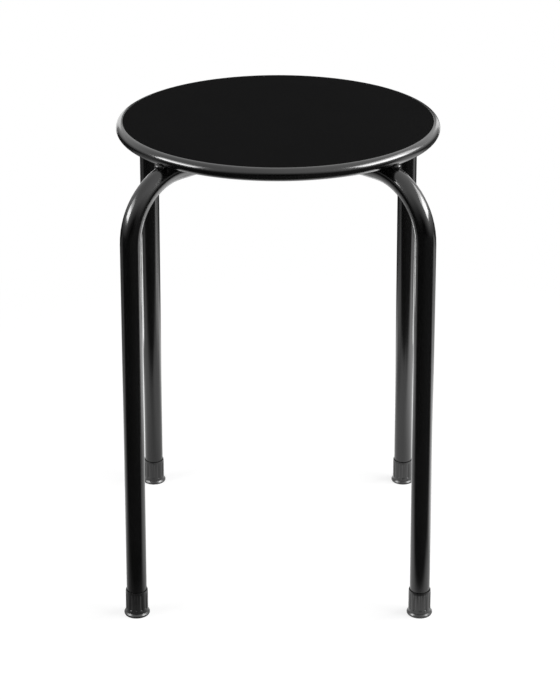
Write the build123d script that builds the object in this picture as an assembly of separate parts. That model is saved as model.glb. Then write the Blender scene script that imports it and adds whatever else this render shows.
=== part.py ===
from build123d import *
import os
from math import asin, cos, degrees, hypot, radians, sin, sqrt, tan

# Round metal stool: a pressed steel seat with a rolled rim, welded on two bent tubes that cross
# under it, with a plastic foot on each of the four tube ends.
# Millimetres, +Z up, the origin on the floor under the middle of the seat, the front towards -Y.

# Seat
stool_height = 450.0
seat_diameter = 300.0
seat_sheet = 1.2
rim_radius = 6.0
curl_gap = 2.5

# Leg tubes
tube_diameter = 19.0
tube_wall = 1.5
bend_radius = 57.0
leg_stand_off = 23.0
leg_splay = 1.15
leg_turn = 45.0
lap_clearance = 0.1

# Welds
weld_gap = 0.3
rim_weld_radius = 4.5
rim_weld_width = 11.0
crossing_weld_radius = 6.0

# Feet
foot_height = 26.0
foot_base = 5.0
foot_clearance = 0.1
foot_wall = 1.0
foot_flare = 1.6
foot_flare_height = 6.4
foot_lip_height = 1.8
foot_edge = 0.5
flute_count = 12
flute_radius = 1.7
flute_depth = 0.4
flute_collar = 2.0

# Sizes that follow from those above
seat_radius = seat_diameter / 2
tube_radius = tube_diameter / 2
rim_centre_radius = seat_radius - rim_radius
rim_centre_height = stool_height - rim_radius
knee_radius = seat_radius + leg_stand_off + tube_radius
bend_turn = 90.0 - leg_splay
bend_centre_radius = knee_radius - bend_radius * tan(radians(bend_turn / 2))

# The rim rests on the outside of each bend, or on the straight arm where the bend starts further out.
rim_past_bend = max(0.0, rim_centre_radius - bend_centre_radius)
rim_to_bend_centre = bend_radius + tube_radius + weld_gap + rim_radius
bend_centre_height = rim_centre_height - sqrt(rim_to_bend_centre**2 - rim_past_bend**2)
arm_height = bend_centre_height + bend_radius
floor_radius = knee_radius + arm_height * tan(radians(leg_splay))
foot_bore_radius = tube_radius + foot_clearance
foot_sleeve_radius = foot_bore_radius + foot_wall
foot_sole_radius = foot_sleeve_radius + foot_flare

# The four corners of the stool, by the direction of each leg from the seat's middle
LEG_DIRECTIONS = {
    "rear_right": leg_turn,
    "rear_left": 180.0 - leg_turn,
    "front_left": 180.0 + leg_turn,
    "front_right": 360.0 - leg_turn,
}


def upright_plane(direction):
    """The upright plane through the stool's axis: x outwards along the direction, y up."""
    outwards = Vector(cos(radians(direction)), sin(radians(direction)), 0)
    return Plane(origin=(0, 0, 0), x_dir=outwards, z_dir=outwards.cross(Vector(0, 0, 1)))


def seat_pan():
    """Flat sheet disc whose edge is rolled out, down and back under itself into a hollow bead."""
    centre = (rim_centre_radius, rim_centre_height)
    underside = stool_height - seat_sheet
    curl_rise = rim_radius - seat_sheet - curl_gap
    curl_end = -180.0 - degrees(asin(curl_rise / rim_radius))
    curl_size = 90.0 - curl_end
    outside = CenterArc(centre, rim_radius, 90.0, -curl_size)
    inside = CenterArc(centre, rim_radius - seat_sheet, curl_end, curl_size)
    outline = [
        Line((0, stool_height), outside @ 0),
        outside,
        Line(outside @ 1, inside @ 0),
        inside,
        Line(inside @ 1, (0, underside)),
        Line((0, underside), (0, stool_height)),
    ]
    return revolve(Plane.XZ * make_face(outline), Axis.Z)


def frame_path(direction):
    """Centre line of one bent tube: up a leg, across under the seat and down the opposite leg."""
    end_radius = floor_radius - foot_base * sin(radians(leg_splay))
    end_height = foot_base * cos(radians(leg_splay))
    corners = [
        (-end_radius, end_height),
        (-knee_radius, arm_height),
        (knee_radius, arm_height),
        (end_radius, end_height),
    ]
    return upright_plane(direction) * FilletPolyline(*corners, radius=bend_radius)


def bent_bar(direction, radius):
    """Solid round bar along the tube's centre line."""
    path = frame_path(direction)
    return sweep(Plane(path @ 0, z_dir=path % 0) * Circle(radius), path)


def lap_cut(direction, side):
    """Space that the crossing tube fills in this one, above (+1) or below (-1) the arms' centre."""
    length = 2 * tube_diameter
    along_arm = Plane((0, 0, arm_height), z_dir=upright_plane(direction).x_dir)
    bar = along_arm * Cylinder(tube_radius + lap_clearance, length)
    half_height = arm_height + side * (length - lap_clearance) / 2
    return bar & Pos(0, 0, half_height) * Box(2 * length, 2 * length, length)


def leg_frame(direction, crossing_direction, side):
    """Bent tube with a half-lap notch where the other tube crosses it."""
    tube = bent_bar(direction, tube_radius) - bent_bar(direction, tube_radius - tube_wall)
    return tube - lap_cut(crossing_direction, side)


def rim_weld(direction, solid_frame, solid_rim):
    """Weld bead across the top of a bend, filling the corner between the tube and the rim."""
    across = rim_past_bend
    up = rim_centre_height - bend_centre_height
    contact = (bend_radius + tube_radius + weld_gap / 2) / hypot(across, up)
    contact_radius = rim_centre_radius - across + across * contact
    contact_height = bend_centre_height + up * contact
    plane = upright_plane(direction)
    place = Plane(plane.from_local_coords(Vector(contact_radius, contact_height, 0)), z_dir=plane.z_dir)
    bead = Cylinder(rim_weld_radius, rim_weld_width)
    for end in (-1, 1):
        bead += Pos(0, 0, end * rim_weld_width / 2) * Sphere(rim_weld_radius)
    return place * bead - solid_frame - solid_rim


def crossing_weld(direction, half_angle, solid_frames):
    """Weld bead in one of the four corners between the crossing tubes."""
    corner = tube_radius / sin(radians(half_angle))
    bead = Rot(0, 0, direction) * Pos(corner, 0, arm_height) * Sphere(crossing_weld_radius)
    for solid_frame in solid_frames:
        bead -= solid_frame
    return bead


def foot(direction):
    """Plastic ferrule: a fluted sleeve on the tube end, flared to a flat sole on the floor."""
    below = 2 * foot_sole_radius * tan(radians(leg_splay)) + foot_edge
    outline = Polyline(
        (0, -below),
        (foot_sole_radius, -below),
        (foot_sole_radius, foot_lip_height),
        (foot_sleeve_radius, foot_flare_height),
        (foot_sleeve_radius, foot_height - foot_edge),
        (foot_sleeve_radius - foot_edge, foot_height),
        (foot_bore_radius, foot_height),
        (foot_bore_radius, foot_base),
        (0, foot_base),
        close=True,
    )
    body = revolve(Plane.XZ * make_face(outline), Axis.Z)
    flute_length = foot_height - flute_collar - foot_flare_height
    flute_place = Pos(0, 0, foot_flare_height + flute_length / 2)
    flute_centre = foot_sleeve_radius + flute_radius - flute_depth
    for place in PolarLocations(flute_centre, flute_count):
        body -= flute_place * place * Cylinder(flute_radius, flute_length)
    plane = upright_plane(direction)
    sole = plane.from_local_coords(Vector(floor_radius, 0, 0))
    up_leg = plane.from_local_coords(Vector(-sin(radians(leg_splay)), cos(radians(leg_splay)), 0))
    body = Plane(sole, x_dir=plane.z_dir, z_dir=up_leg) * body
    under_floor = Pos(sole.X, sole.Y, -foot_height / 2) * Box(foot_height * 2, foot_height * 2, foot_height)
    return body - under_floor


pieces = {"seat_pan": seat_pan()}

# The tube from front left to rear right keeps its lower half at the crossing, the other its upper half.
low_direction = LEG_DIRECTIONS["rear_right"]
high_direction = LEG_DIRECTIONS["rear_left"]
pieces["leg_frame_lower"] = leg_frame(low_direction, high_direction, 1)
pieces["leg_frame_upper"] = leg_frame(high_direction, low_direction, -1)

low_bar = bent_bar(low_direction, tube_radius)
high_bar = bent_bar(high_direction, tube_radius)
rim_bar = Pos(0, 0, rim_centre_height) * Torus(rim_centre_radius, rim_radius)
for corner, direction in LEG_DIRECTIONS.items():
    bar = low_bar if corner in ("rear_right", "front_left") else high_bar
    pieces[f"rim_weld_{corner}"] = rim_weld(direction, bar, rim_bar)
    pieces[f"foot_{corner}"] = foot(direction)
for number, side in enumerate(("right", "rear", "left", "front")):
    half_angle = leg_turn if side in ("right", "left") else 90.0 - leg_turn
    pieces[f"crossing_weld_{side}"] = crossing_weld(90.0 * number, half_angle, (low_bar, high_bar))

os.makedirs("parts", exist_ok=True)
for name, solid in pieces.items():
    solid.label = name
    export_step(solid, f"parts/{name}.step")
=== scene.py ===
import math

import bmesh
import bpy
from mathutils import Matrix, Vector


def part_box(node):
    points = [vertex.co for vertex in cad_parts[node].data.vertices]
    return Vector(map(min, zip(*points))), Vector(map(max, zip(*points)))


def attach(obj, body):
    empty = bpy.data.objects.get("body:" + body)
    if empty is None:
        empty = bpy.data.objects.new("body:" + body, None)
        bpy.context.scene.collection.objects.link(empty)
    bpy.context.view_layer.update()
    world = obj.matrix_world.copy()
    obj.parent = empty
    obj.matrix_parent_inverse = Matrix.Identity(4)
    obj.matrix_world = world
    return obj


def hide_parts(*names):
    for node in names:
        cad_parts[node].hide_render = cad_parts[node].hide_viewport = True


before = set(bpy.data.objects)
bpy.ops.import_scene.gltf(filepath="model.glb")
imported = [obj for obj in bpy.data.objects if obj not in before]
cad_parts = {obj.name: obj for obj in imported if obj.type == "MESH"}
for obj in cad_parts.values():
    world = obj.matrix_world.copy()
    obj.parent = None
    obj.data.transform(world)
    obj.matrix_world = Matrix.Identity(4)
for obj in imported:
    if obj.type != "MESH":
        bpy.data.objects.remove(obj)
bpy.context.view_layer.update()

scene = bpy.context.scene
scene.view_settings.view_transform = "Standard"

# Camera: a long lens about 1.7 m in front of the stool and just under a metre above the floor.
# Its distance, height and tilt are those at which the seat's ellipse and the four legs fall where
# the photograph has them.
lens_mm = 97.4
film_height_mm = 36.0
camera_place = (0.0017, -1.690, 0.969)
camera_tilt = math.radians(24.055)

bpy.ops.object.select_all(action="DESELECT")
bpy.ops.object.camera_add(location=camera_place, rotation=(math.pi / 2 - camera_tilt, 0, 0))
camera = bpy.context.object
camera.data.sensor_fit = "VERTICAL"
camera.data.sensor_height = film_height_mm
camera.data.lens = lens_mm
scene.camera = camera


# Leg frames: two lengths of 19 mm steel tube, each bent twice into a wide U, stood across each other
# and notched where they cross. They are sprayed with black powder and baked, which leaves a hard gloss
# film with a faint orange peel, a little hazy in places from handling.
def add_node(tree, kind, **settings):
    """A new shader node with the given settings."""
    node = tree.nodes.new(kind)
    for name, value in settings.items():
        setattr(node, name, value)
    return node


def film_texture_group():
    """Surface of a sprayed or moulded film: drifting pigment and gloss, and a fine bump."""
    tree = bpy.data.node_groups.new("film_texture", "ShaderNodeTree")
    for name, kind in (
        ("Pigment", "NodeSocketColor"),
        ("Pigment Drift", "NodeSocketFloat"),
        ("Roughness", "NodeSocketFloat"),
        ("Haze", "NodeSocketFloat"),
        ("Bumps per Metre", "NodeSocketFloat"),
        ("Bump Depth", "NodeSocketFloat"),
    ):
        tree.interface.new_socket(name, in_out="INPUT", socket_type=kind)
    for name, kind in (
        ("Colour", "NodeSocketColor"),
        ("Roughness", "NodeSocketFloat"),
        ("Normal", "NodeSocketVector"),
    ):
        tree.interface.new_socket(name, in_out="OUTPUT", socket_type=kind)
    given = add_node(tree, "NodeGroupInput")
    result = add_node(tree, "NodeGroupOutput")
    place = add_node(tree, "ShaderNodeTexCoord").outputs["Object"]

    # Slow drift over a hand's width, from -1 to 1, for the pigment and the haze
    patches_per_metre = 14.0
    patch_detail = 4.0
    usual_low, usual_high = 0.3, 0.7
    drift = add_node(tree, "ShaderNodeTexNoise")
    drift.inputs["Scale"].default_value = patches_per_metre
    drift.inputs["Detail"].default_value = patch_detail
    tree.links.new(place, drift.inputs["Vector"])
    swing = add_node(tree, "ShaderNodeMapRange")
    swing.inputs["From Min"].default_value = usual_low
    swing.inputs["From Max"].default_value = usual_high
    swing.inputs["To Min"].default_value = -1.0
    swing.inputs["To Max"].default_value = 1.0
    tree.links.new(drift.outputs["Fac"], swing.inputs["Value"])
    shade = add_node(tree, "ShaderNodeMath", operation="MULTIPLY_ADD")
    shade.inputs[2].default_value = 1.0
    tree.links.new(swing.outputs["Result"], shade.inputs[0])
    tree.links.new(given.outputs["Pigment Drift"], shade.inputs[1])
    tint = add_node(tree, "ShaderNodeVectorMath", operation="SCALE")
    tree.links.new(given.outputs["Pigment"], tint.inputs[0])
    tree.links.new(shade.outputs["Value"], tint.inputs["Scale"])
    tree.links.new(tint.outputs["Vector"], result.inputs["Colour"])
    haze = add_node(tree, "ShaderNodeMath", operation="MULTIPLY_ADD")
    tree.links.new(swing.outputs["Result"], haze.inputs[0])
    tree.links.new(given.outputs["Haze"], haze.inputs[1])
    tree.links.new(given.outputs["Roughness"], haze.inputs[2])
    tree.links.new(haze.outputs["Value"], result.inputs["Roughness"])

    # Fine bump, with finer grain on it
    grain_detail = 3.0
    grain_strength = 0.45
    bumps = add_node(tree, "ShaderNodeTexNoise")
    bumps.inputs["Detail"].default_value = grain_detail
    bumps.inputs["Roughness"].default_value = grain_strength
    tree.links.new(place, bumps.inputs["Vector"])
    tree.links.new(given.outputs["Bumps per Metre"], bumps.inputs["Scale"])
    relief = add_node(tree, "ShaderNodeBump")
    tree.links.new(bumps.outputs["Fac"], relief.inputs["Height"])
    tree.links.new(given.outputs["Bump Depth"], relief.inputs["Distance"])
    tree.links.new(relief.outputs["Normal"], result.inputs["Normal"])
    return tree


film_texture = film_texture_group()


def film_material(name, pigment, drift, roughness, haze, bumps_per_metre, bump_depth, index, specular):
    """A material whose colour, gloss and bump come from the film texture, with a shader of its own."""
    material = bpy.data.materials.new(name)
    material.use_nodes = True
    tree = material.node_tree
    film = add_node(tree, "ShaderNodeGroup", node_tree=film_texture)
    film.inputs["Pigment"].default_value = (*pigment, 1.0)
    film.inputs["Pigment Drift"].default_value = drift
    film.inputs["Roughness"].default_value = roughness
    film.inputs["Haze"].default_value = haze
    film.inputs["Bumps per Metre"].default_value = bumps_per_metre
    film.inputs["Bump Depth"].default_value = bump_depth
    shader = tree.nodes["Principled BSDF"]
    shader.inputs["IOR"].default_value = index
    shader.inputs["Specular IOR Level"].default_value = specular
    tree.links.new(film.outputs["Colour"], shader.inputs["Base Color"])
    tree.links.new(film.outputs["Roughness"], shader.inputs["Roughness"])
    tree.links.new(film.outputs["Normal"], shader.inputs["Normal"])
    return material


gloss_coat = film_material(
    "gloss_powder_coat",
    pigment=(0.0035, 0.0035, 0.0036),
    drift=0.12,
    roughness=0.16,
    haze=0.03,
    bumps_per_metre=360.0,
    bump_depth=0.000007,
    index=1.58,
    specular=0.5,
)
for tube in ("leg_frame_lower", "leg_frame_upper"):
    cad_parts[tube].material_slots[0].material = gloss_coat


# Crossing welds: short upright beads run into the four corners where the tubes cross, under the seat.
# Each is a row of overlapping ripples left by the torch, coated with the tubes.
def weld_bead(name, radius, length, ripples):
    """A straight rippled bead along Z, centred on the origin, with rounded ends."""
    sides = 24
    steps_per_ripple = 4
    ripple_height = 0.12
    blunt_end = 0.08
    same_point = 1e-6
    steps = steps_per_ripple * ripples
    rise = length / steps

    def girth(step):
        """Share of the full radius at a step: a round end, and a crest on each ripple."""
        along = 2.0 * step / steps - 1.0
        rounded = max(blunt_end, 1.0 - abs(along) ** 4) ** 0.5
        return rounded * (1.0 + ripple_height * math.cos(2.0 * math.pi * ripples * step / steps))

    bpy.ops.object.select_all(action="DESELECT")
    bpy.ops.mesh.primitive_circle_add(vertices=sides, radius=radius, fill_type="TRIFAN")
    bead = bpy.context.object
    bead.name = name
    bpy.ops.object.mode_set(mode="EDIT")
    bpy.ops.mesh.select_all(action="SELECT")
    bpy.ops.transform.translate(value=(0, 0, -length / 2))
    bpy.ops.transform.resize(value=(girth(0), girth(0), 1))
    for step in range(steps):
        grow = girth(step + 1) / girth(step)
        bpy.ops.mesh.extrude_region_move(TRANSFORM_OT_translate={"value": (0, 0, rise)})
        bpy.ops.transform.resize(value=(grow, grow, 1))
    bpy.ops.mesh.select_all(action="SELECT")
    bpy.ops.mesh.remove_doubles(threshold=same_point)
    bpy.ops.mesh.normals_make_consistent(inside=False)
    bpy.ops.object.mode_set(mode="OBJECT")
    bpy.ops.object.shade_smooth()
    return bead


def place_piece(piece, turn, place):
    """Turns and moves a piece and writes that into its mesh."""
    bpy.ops.object.select_all(action="DESELECT")
    piece.select_set(True)
    bpy.context.view_layer.objects.active = piece
    piece.rotation_euler = turn
    piece.location = place
    bpy.ops.object.transform_apply(location=True, rotation=True, scale=True)


def copy_piece(piece, name):
    """A copy with a mesh of its own."""
    bpy.ops.object.select_all(action="DESELECT")
    piece.select_set(True)
    bpy.context.view_layer.objects.active = piece
    bpy.ops.object.duplicate(linked=False)
    copy = bpy.context.object
    copy.name = name
    return copy


crossing_bead_radius = 0.0040
crossing_bead_inset = 0.0015
crossing_low, crossing_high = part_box("crossing_weld_right")
crossing_place = (
    (crossing_low.x + crossing_high.x) / 2 - crossing_bead_inset,
    0,
    (crossing_low.z + crossing_high.z) / 2,
)
crossing_bead_length = crossing_high.z - crossing_low.z
weld_coat = film_material(
    "weld_powder_coat",
    pigment=(0.006, 0.006, 0.006),
    drift=0.2,
    roughness=0.15,
    haze=0.04,
    bumps_per_metre=520.0,
    bump_depth=0.00002,
    index=1.58,
    specular=0.5,
)
crossing_bead = weld_bead("crossing_bead_right", crossing_bead_radius, crossing_bead_length, ripples=5)
crossing_bead.data.materials.append(weld_coat)
place_piece(crossing_bead, (0, 0, 0), crossing_place)
crossing_beads = {"right": crossing_bead}
for quarter, side in enumerate(("rear", "left", "front"), start=1):
    crossing_beads[side] = copy_piece(crossing_bead, f"crossing_bead_{side}")
    place_piece(crossing_beads[side], (0, 0, quarter * math.pi / 2), (0, 0, 0))
for side, bead in crossing_beads.items():
    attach(bead, "root")
    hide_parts(f"crossing_weld_{side}")


# Seat: one disc of sheet steel whose edge is rolled out, down and back under itself into a hollow bead.
# The rolled rim keeps the gloss coat, and the flat top has a dead matt, finely grained black finish
# that ends in a crisp line where the bead begins.
seat_low, seat_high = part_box("seat_pan")
seat_radius = seat_high.x
rim_radius = (seat_high.z - seat_low.z) / 2
rim_centre_radius = seat_radius - rim_radius
rim_centre_height = seat_high.z - rim_radius
sheet = 0.0012
crest_margin_degrees = 0.5
curl_opening_degrees = 67.0
rim_points = 72
seat_steps = 180
sheet_reaches = (0.001, 0.009, 0.03, 0.05)
seam_width = 1e-5
seat_crease = math.radians(40)

bpy.ops.object.select_all(action="DESELECT")
bpy.ops.mesh.primitive_circle_add(
    vertices=rim_points,
    radius=rim_radius - sheet / 2,
    location=(rim_centre_radius, 0, rim_centre_height),
    rotation=(math.pi / 2, 0, 0),
)
seat = bpy.context.object
seat.name = "seat"
bpy.ops.object.transform_apply(location=True, rotation=True, scale=True)
bpy.ops.object.mode_set(mode="EDIT")

# The bead's section is open from just past its crest, where the sheet begins, to the end of the curl.
outline = bmesh.from_edit_mesh(seat.data)
bpy.ops.mesh.select_all(action="DESELECT")
for point in outline.verts:
    inwards = rim_centre_radius - point.co.x
    upwards = point.co.z - rim_centre_height
    past_crest = math.degrees(math.atan2(inwards, upwards))
    point.select = crest_margin_degrees < past_crest < curl_opening_degrees
bmesh.update_edit_mesh(seat.data)
bpy.ops.mesh.delete(type="VERT")

# From the crest the sheet runs flat to the middle.
outline = bmesh.from_edit_mesh(seat.data)
bpy.ops.mesh.select_all(action="DESELECT")
crest = max(outline.verts, key=lambda point: point.co.z)
crest.select = True
bmesh.update_edit_mesh(seat.data)
for reach in (*sheet_reaches, rim_centre_radius - sum(sheet_reaches)):
    bpy.ops.mesh.extrude_region_move(TRANSFORM_OT_translate={"value": (-reach, 0, 0)})
bpy.ops.mesh.select_all(action="SELECT")
bpy.ops.mesh.spin(steps=seat_steps, angle=2 * math.pi, center=(0, 0, 0), axis=(0, 0, 1))
bpy.ops.mesh.select_all(action="SELECT")
bpy.ops.mesh.remove_doubles(threshold=seam_width)
bpy.ops.mesh.normals_make_consistent(inside=False)
bpy.ops.object.mode_set(mode="OBJECT")
wall = seat.modifiers.new("wall", "SOLIDIFY")
wall.thickness = sheet
wall.offset = 0.0
bpy.ops.object.modifier_apply(modifier=wall.name)
bpy.ops.object.shade_smooth_by_angle(angle=seat_crease)

matt_top = film_material(
    "matt_grained_top",
    pigment=(0.0060, 0.0060, 0.0061),
    drift=0.14,
    roughness=0.7,
    haze=0.05,
    bumps_per_metre=1500.0,
    bump_depth=0.00012,
    index=1.45,
    specular=0.004,
)
seat.data.materials.append(gloss_coat)
seat.data.materials.append(matt_top)
lowest_top = seat_high.z - sheet / 10
for face in seat.data.polygons:
    on_top = face.center.z > lowest_top and face.center.xy.length < rim_centre_radius
    face.material_index = 1 if on_top else 0
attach(seat, "root")
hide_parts("seat_pan")


# Rim welds: where the rim rests on the top of each bend it is welded on with one short rippled bead,
# which fills the corner between them and is coated with the rest.
CORNERS = ("rear_right", "rear_left", "front_left", "front_right")
rim_bead_radius = 0.0040
rim_bead_length = 0.0135
rim_bead_out = 0.0019
rim_bead_drop = 0.0002
rim_low, rim_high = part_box("rim_weld_rear_right")
rim_bead_place = (
    (rim_low.x + rim_high.x) / 2 + rim_bead_out / math.sqrt(2),
    (rim_low.y + rim_high.y) / 2 + rim_bead_out / math.sqrt(2),
    (rim_low.z + rim_high.z) / 2 - rim_bead_drop,
)
across_bend = (math.pi / 2, 0, math.radians(135))

rim_bead = weld_bead("rim_bead_rear_right", rim_bead_radius, rim_bead_length, ripples=3)
rim_bead.data.materials.append(weld_coat)
place_piece(rim_bead, across_bend, rim_bead_place)
rim_beads = {"rear_right": rim_bead}
for quarter, corner in enumerate(CORNERS[1:], start=1):
    rim_beads[corner] = copy_piece(rim_bead, f"rim_bead_{corner}")
    place_piece(rim_beads[corner], (0, 0, quarter * math.pi / 2), (0, 0, 0))
for corner, bead in rim_beads.items():
    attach(bead, "root")
    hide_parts(f"rim_weld_{corner}")


# Feet: ferrules moulded in dark grey plastic and pushed over the tube ends. Each has a sleeve with
# twelve shallow flutes down it and a flared sole that stands flat on the floor. They lean with the
# legs, so each is made upright and a little long, and cut off level with the floor.
tube_radius = 0.0095
foot_height = 0.026
sleeve_radius = 0.0106
sole_radius = 0.0122
below_floor = 0.001
below_radius = sole_radius - 0.0006
flute_count = 12
flute_depth = 0.0008
flute_foot = 0.0069
flute_top = foot_height - 0.0026
points_per_flute = 16
flute_half_width = 4.6
leg_splay = math.radians(1.15)
foot_crease = math.radians(50)
foot_low, foot_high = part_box("foot_rear_right")
foot_place = ((foot_low.x + foot_high.x) / 2, (foot_low.y + foot_high.y) / 2, 0)

# Each ring of the ferrule, from the floor up and then down into its mouth: its height and its radius
sole_rings = (
    (0.0000, sole_radius - 0.0004),
    (0.0004, sole_radius - 0.0001),
    (0.0009, sole_radius),
    (0.0015, sole_radius),
)
flare_rings = (
    (0.0018, sole_radius - 0.00008),
    (0.0020, sole_radius - 0.00022),
    (0.0031, sole_radius - 0.00122),
    (0.0034, sleeve_radius + 0.00020),
    (0.0038, sleeve_radius + 0.00006),
    (0.0044, sleeve_radius + 0.00002),
)
sleeve_rings = (
    (0.0054, sleeve_radius),
    (0.0064, sleeve_radius),
    (0.0070, sleeve_radius),
    (0.0076, sleeve_radius),
    (0.0160, sleeve_radius),
    (foot_height - 0.0027, sleeve_radius),
)
tapered_rings = (
    (foot_height - 0.0024, sleeve_radius - 0.00003),
    (foot_height - 0.0003, sleeve_radius - 0.00030),
    (foot_height, sleeve_radius - 0.00040),
)
mouth_rings = (
    (foot_height, tube_radius + 0.00060),
    (foot_height - 0.0030, tube_radius + 0.00005),
    (foot_height - 0.0040, tube_radius + 0.00005),
)

height = -below_floor
radius = below_radius
bpy.ops.object.select_all(action="DESELECT")
bpy.ops.mesh.primitive_circle_add(
    vertices=flute_count * points_per_flute,
    radius=radius,
    fill_type="TRIFAN",
    location=(0, 0, height),
)
foot = bpy.context.object
foot.name = "ferrule_rear_right"
bpy.ops.object.transform_apply(location=True, rotation=True, scale=True)
bpy.ops.object.mode_set(mode="EDIT")
bpy.ops.mesh.select_all(action="SELECT")
for ring_height, ring_radius in sole_rings + flare_rings + sleeve_rings + tapered_rings + mouth_rings:
    grow = ring_radius / radius
    bpy.ops.mesh.extrude_region_move(TRANSFORM_OT_translate={"value": (0, 0, ring_height - height)})
    bpy.ops.transform.resize(value=(grow, grow, 1))
    height = ring_height
    radius = ring_radius

# The flutes: points across each are drawn in as a shallow round groove.
for offset in range(math.ceil(flute_half_width)):
    body = bmesh.from_edit_mesh(foot.data)
    bpy.ops.mesh.select_all(action="DESELECT")
    for point in body.verts:
        turn = math.atan2(point.co.y, point.co.x) / (2 * math.pi) * flute_count * points_per_flute
        from_middle = round(turn) % points_per_flute
        in_flute = flute_foot < point.co.z < flute_top
        point.select = in_flute and from_middle in (offset, points_per_flute - offset)
    body.select_flush_mode()
    bmesh.update_edit_mesh(foot.data)
    drawn_in = 1 - (1 - (offset / flute_half_width) ** 2) * flute_depth / sleeve_radius
    bpy.ops.transform.resize(value=(drawn_in, drawn_in, 1))
bpy.ops.mesh.select_all(action="SELECT")
bpy.ops.mesh.normals_make_consistent(inside=False)
bpy.ops.object.mode_set(mode="OBJECT")
lean = (leg_splay / math.sqrt(2), -leg_splay / math.sqrt(2), 0)
place_piece(foot, lean, foot_place)
bpy.ops.object.mode_set(mode="EDIT")
bpy.ops.mesh.select_all(action="SELECT")
bpy.ops.mesh.bisect(
    plane_co=(0, 0, 0), plane_no=(0, 0, 1), clear_inner=True, use_fill=True, threshold=1e-7
)
bpy.ops.object.mode_set(mode="OBJECT")
bpy.ops.object.shade_smooth_by_angle(angle=foot_crease)

foot_plastic = film_material(
    "moulded_foot_plastic",
    pigment=(0.010, 0.010, 0.0102),
    drift=0.15,
    roughness=0.30,
    haze=0.04,
    bumps_per_metre=2200.0,
    bump_depth=0.00001,
    index=1.60,
    specular=0.5,
)
foot.data.materials.append(foot_plastic)
feet = {"rear_right": foot}
for quarter, corner in enumerate(CORNERS[1:], start=1):
    feet[corner] = copy_piece(foot, f"ferrule_{corner}")
    place_piece(feet[corner], (0, 0, quarter * math.pi / 2), (0, 0, 0))
for corner, ferrule in feet.items():
    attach(ferrule, "root")
    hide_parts(f"foot_{corner}")


# Floor: a white studio floor that keeps a soft shadow under the stool. Mirrored in the coat it is
# white behind and beside the stool and falls away to dark in front of it, towards the camera.
def ramp(tree, value, span, levels):
    """A smooth step from one level to the other while the value crosses the span."""
    step = add_node(tree, "ShaderNodeMapRange", interpolation_type="SMOOTHSTEP")
    numbers = (*span, *levels)
    for name, number in zip(("From Min", "From Max", "To Min", "To Max"), numbers):
        step.inputs[name].default_value = number
    tree.links.new(value, step.inputs["Value"])
    return step.outputs["Result"]


def times(tree, first, *others):
    """The product of two or more values."""
    for other in others:
        product = add_node(tree, "ShaderNodeMath", operation="MULTIPLY")
        tree.links.new(first, product.inputs[0])
        tree.links.new(other, product.inputs[1])
        first = product.outputs["Value"]
    return first


def larger(tree, first, second):
    """The larger of two values."""
    node = add_node(tree, "ShaderNodeMath", operation="MAXIMUM")
    tree.links.new(first, node.inputs[0])
    tree.links.new(second, node.inputs[1])
    return node.outputs["Value"]


def reach_along(tree, place, direction):
    """How far a place lies along a direction."""
    node = add_node(tree, "ShaderNodeVectorMath", operation="DOT_PRODUCT")
    node.inputs[1].default_value = direction
    tree.links.new(place, node.inputs[0])
    return node.outputs["Value"]


def give_way(tree, share, first, second):
    """One shader that gives way to a second as the share goes from 0 to 1."""
    node = add_node(tree, "ShaderNodeMixShader")
    tree.links.new(share, node.inputs["Fac"])
    tree.links.new(first, node.inputs[1])
    tree.links.new(second, node.inputs[2])
    return node.outputs["Shader"]


floor_size = 8.0
floor_white = (0.8, 0.8, 0.8, 1.0)
shadow_grey = (0.35, 0.35, 0.35, 1.0)
shadow_fill = 0.76
bpy.ops.object.select_all(action="DESELECT")
bpy.ops.mesh.primitive_plane_add(size=floor_size)
floor = bpy.context.object
floor.name = "studio_floor"

floor_paint = bpy.data.materials.new("studio_floor")
floor_paint.use_nodes = True
tree = floor_paint.node_tree
tree.nodes.clear()
floor_place = add_node(tree, "ShaderNodeTexCoord").outputs["Object"]
axes = add_node(tree, "ShaderNodeSeparateXYZ")
tree.links.new(floor_place, axes.inputs["Vector"])
to_right = axes.outputs["X"]
to_back = axes.outputs["Y"]
distance = add_node(tree, "ShaderNodeVectorMath", operation="LENGTH")
tree.links.new(floor_place, distance.inputs[0])
from_stool = distance.outputs["Value"]

# What the camera sees: a floor that takes the stool's shadow and clears to plain white further out
shadowed = add_node(tree, "ShaderNodeBsdfDiffuse")
shadowed.inputs["Color"].default_value = shadow_grey
fill = add_node(tree, "ShaderNodeEmission")
fill.inputs["Strength"].default_value = shadow_fill
near = add_node(tree, "ShaderNodeAddShader")
tree.links.new(shadowed.outputs["BSDF"], near.inputs[0])
tree.links.new(fill.outputs["Emission"], near.inputs[1])
plain_white = add_node(tree, "ShaderNodeEmission")
clearing = ramp(tree, from_stool, span=(0.3, 0.8), levels=(0.0, 1.0))
seen = give_way(tree, clearing, near.outputs["Shader"], plain_white.outputs["Emission"])

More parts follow.
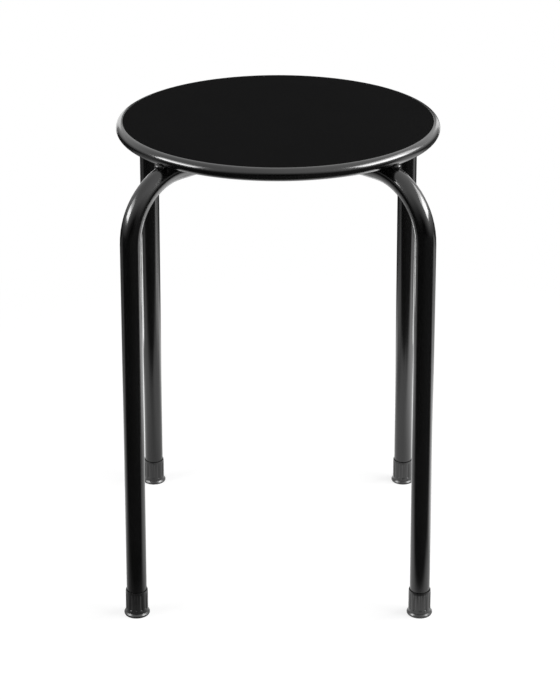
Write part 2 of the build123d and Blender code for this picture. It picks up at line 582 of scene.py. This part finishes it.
# What the coat mirrors: a wide floor with a painted pool of light on the right that dims to the left,
# dimmer far back and in the far corners, and with a painted shadow under the stool; and the white ground
# close round the feet, which reaches further forward on the right and is painted brighter there
corner_slant = 0.6
front_slant = (0.17, 1.0, 0.0)
aside = add_node(tree, "ShaderNodeMath", operation="ABSOLUTE")
tree.links.new(to_right, aside.inputs[0])
to_corner = add_node(tree, "ShaderNodeMath", operation="MULTIPLY_ADD")
to_corner.inputs[1].default_value = corner_slant
tree.links.new(aside.outputs["Value"], to_corner.inputs[0])
tree.links.new(to_back, to_corner.inputs[2])
wide_floor_with_painted_light = times(
    tree,
    ramp(tree, to_back, span=(-0.22, 0.0), levels=(0.03, 1.0)),
    ramp(tree, to_back, span=(0.35, 0.68), levels=(1.0, 0.08)),
    # Painted shadow: the mirrored floor is darker close under the stool, where the seat shades it.
    ramp(tree, from_stool, span=(0.08, 0.4), levels=(0.38, 1.0)),
    # Painted light: a pool of light from the right soft box, bright on the right and dimmer on the left.
    ramp(tree, to_right, span=(-0.7, 0.5), levels=(0.75, 2.8)),
    ramp(tree, to_corner.outputs["Value"], span=(0.42, 0.66), levels=(1.0, 0.4)),
)
past_front = reach_along(tree, floor_place, front_slant)
near_floor_with_painted_light = times(
    tree,
    ramp(tree, past_front, span=(-0.20, -0.135), levels=(0.0, 1.0)),
    ramp(tree, from_stool, span=(0.25, 0.4), levels=(1.0, 0.0)),
    # Painted light: the ground round the feet is brighter on the right, towards the right soft box.
    ramp(tree, to_right, span=(-0.15, 0.0), levels=(0.7, 1.1)),
)
mirrored = add_node(tree, "ShaderNodeEmission")
tree.links.new(larger(tree, wide_floor_with_painted_light, near_floor_with_painted_light), mirrored.inputs["Strength"])

# All other light falls on a plain white floor, and from below there is none.
lit = add_node(tree, "ShaderNodeBsdfDiffuse")
lit.inputs["Color"].default_value = floor_white
rays = add_node(tree, "ShaderNodeLightPath").outputs
mirror_ray = larger(tree, rays["Is Glossy Ray"], rays["Is Transmission Ray"])
by_mirror = give_way(tree, mirror_ray, lit.outputs["BSDF"], mirrored.outputs["Emission"])
from_above = give_way(tree, rays["Is Camera Ray"], by_mirror, seen)
underside = add_node(tree, "ShaderNodeNewGeometry").outputs["Backfacing"]
no_floor = add_node(tree, "ShaderNodeBsdfTransparent").outputs["BSDF"]
floor_out = add_node(tree, "ShaderNodeOutputMaterial")
tree.links.new(give_way(tree, underside, from_above, no_floor), floor_out.inputs["Surface"])
floor.data.materials.append(floor_paint)


# Studio: a white room with a dark side behind the camera. The camera sees plain white all round and the
# room lights everything evenly. The coat mirrors white above and beside the stool and, low down, a dark
# gap straight behind it.
def room_light(tree, strength=1.0):
    """White light from all round."""
    light = add_node(tree, "ShaderNodeBackground")
    light.inputs["Color"].default_value = (1, 1, 1, 1)
    light.inputs["Strength"].default_value = strength
    return light


ambient = 0.2
dark_side = (0.0, -0.94, -0.34)
studio = bpy.data.worlds.new("studio")
scene.world = studio
studio.use_nodes = True
tree = studio.node_tree
tree.nodes.clear()
sight = add_node(tree, "ShaderNodeTexCoord").outputs["Generated"]
sight_axes = add_node(tree, "ShaderNodeSeparateXYZ")
tree.links.new(sight, sight_axes.inputs["Vector"])
to_right = sight_axes.outputs["X"]
upwards = sight_axes.outputs["Z"]
beside_gap = larger(
    tree,
    ramp(tree, to_right, span=(-0.25, -0.16), levels=(1.0, 0.06)),
    ramp(tree, to_right, span=(0.20, 0.29), levels=(0.06, 1.0)),
)
above_gap = ramp(tree, upwards, span=(0.2, 0.32), levels=(0.0, 1.0))
room_level = times(
    tree,
    ramp(tree, reach_along(tree, sight, dark_side), span=(0.35, 0.95), levels=(1.2, 0.06)),
    ramp(tree, upwards, span=(-0.1, 0.32), levels=(0.25, 1.0)),
    ramp(tree, to_right, span=(-0.5, 0.5), levels=(0.9, 1.2)),
    larger(tree, beside_gap, above_gap),
)
mirrored_room = room_light(tree)
tree.links.new(room_level, mirrored_room.inputs["Strength"])
even_light = room_light(tree, ambient)
white_room = room_light(tree)
rays = add_node(tree, "ShaderNodeLightPath").outputs
mirror_ray = larger(tree, rays["Is Glossy Ray"], rays["Is Transmission Ray"])
by_mirror = give_way(tree, mirror_ray, even_light.outputs["Background"], mirrored_room.outputs["Background"])
room = give_way(tree, rays["Is Camera Ray"], by_mirror, white_room.outputs["Background"])
studio_out = add_node(tree, "ShaderNodeOutputWorld")
tree.links.new(room, studio_out.inputs["Surface"])


# Lamps: a large soft box overhead, and a soft box with a hotter core low on each side, whose mirror
# images are the bright streaks along the rim and down the outside of the bends. Two tall narrow ones
# stand behind, one on each side of the dark gap, and show in the two ends of the rim.
def soft_box(name, place, width, height, watts):
    """A rectangular lamp that faces the middle of the seat."""
    bpy.ops.object.select_all(action="DESELECT")
    bpy.ops.object.light_add(type="AREA", location=place)
    lamp = bpy.context.object
    lamp.name = name
    lamp.data.shape = "RECTANGLE"
    lamp.data.size = width
    lamp.data.size_y = height
    lamp.data.energy = watts
    drop = place[2] - seat_high.z
    flat = math.hypot(place[0], place[1])
    lamp.rotation_euler = (math.atan2(flat, drop), 0, math.atan2(place[0], -place[1]))
    return lamp


overhead = soft_box("soft_box_overhead", (0, 0.1, 2.0), width=1.6, height=1.6, watts=5.0)
overhead.visible_glossy = False
soft_box("soft_box_left", (-1.33, -0.40, 1.05), width=0.9, height=0.66, watts=9.5)
soft_box("soft_box_right", (1.30, -0.06, 1.20), width=1.5, height=0.8, watts=24.5)
left_core = soft_box("soft_box_left_core", (-1.32, -0.40, 0.90), width=0.85, height=0.36, watts=10.0)
right_core = soft_box("soft_box_right_core", (1.27, -0.26, 1.05), width=1.0, height=0.48, watts=17.0)
for core in (left_core, right_core):
    core.visible_diffuse = False
back_left = soft_box("soft_box_back_left", (-0.63, 1.5, 0.45), width=0.40, height=0.89, watts=1.4)
back_right = soft_box("soft_box_back_right", (0.745, 1.5, 0.45), width=0.27, height=0.89, watts=1.0)
for back_box in (back_left, back_right):
    back_box.visible_diffuse = False
    back_box.visible_camera = False

# A strip lies on the floor behind on each side, facing up, with its long side towards the stool's middle.
# It lights one tube only, whose front leg, across from it, mirrors it along the inner edge.
strip_length = 0.44
strip_width = 0.34
for name, place, tube, watts in (
    ("floor_strip_right", (0.55, 0.55, 0.003), "leg_frame_lower", 1.5),
    ("floor_strip_left", (-0.55, 0.55, 0.003), "leg_frame_upper", 1.75),
):
    facing_up = (math.pi, 0, math.copysign(math.pi / 4, place[0]))
    strip = soft_box(name, place, strip_length, strip_width, watts)
    strip.rotation_euler = facing_up
    strip.visible_diffuse = False
    strip.visible_camera = False
    lit_tube = bpy.data.collections.new(name)
    lit_tube.objects.link(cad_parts[tube])
    strip.light_linking.receiver_collection = lit_tube
